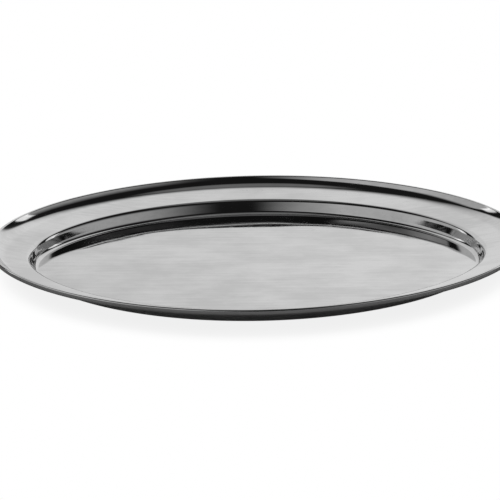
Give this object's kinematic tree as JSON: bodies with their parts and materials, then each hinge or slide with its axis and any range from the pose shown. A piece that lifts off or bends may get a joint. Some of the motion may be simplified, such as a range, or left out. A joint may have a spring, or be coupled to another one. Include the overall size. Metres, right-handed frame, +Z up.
{
  "type": "oval serving tray",
  "caption": "Shallow oval serving tray with a flat well, a steep wall, a wide dished flange and a rim rolled around a wire.",
  "frame": {"origin": "centre of the underside of the floor, on the surface that the tray stands on", "axes": "+X along the tray's length, +Y along its width, +Z up out of the well"},
  "size_m": [0.5, 0.35, 0.0289],
  "materials": {
    "polished_steel": "bright mirror-polished stainless steel, with faint lengthwise polishing lines on the floor",
    "drawn_wire": "plain drawn steel wire, dull"
  },
  "bodies": {
    "root": {"tray_pan": "polished_steel", "rim_wire": "drawn_wire"}
  },
  "joints": []
}
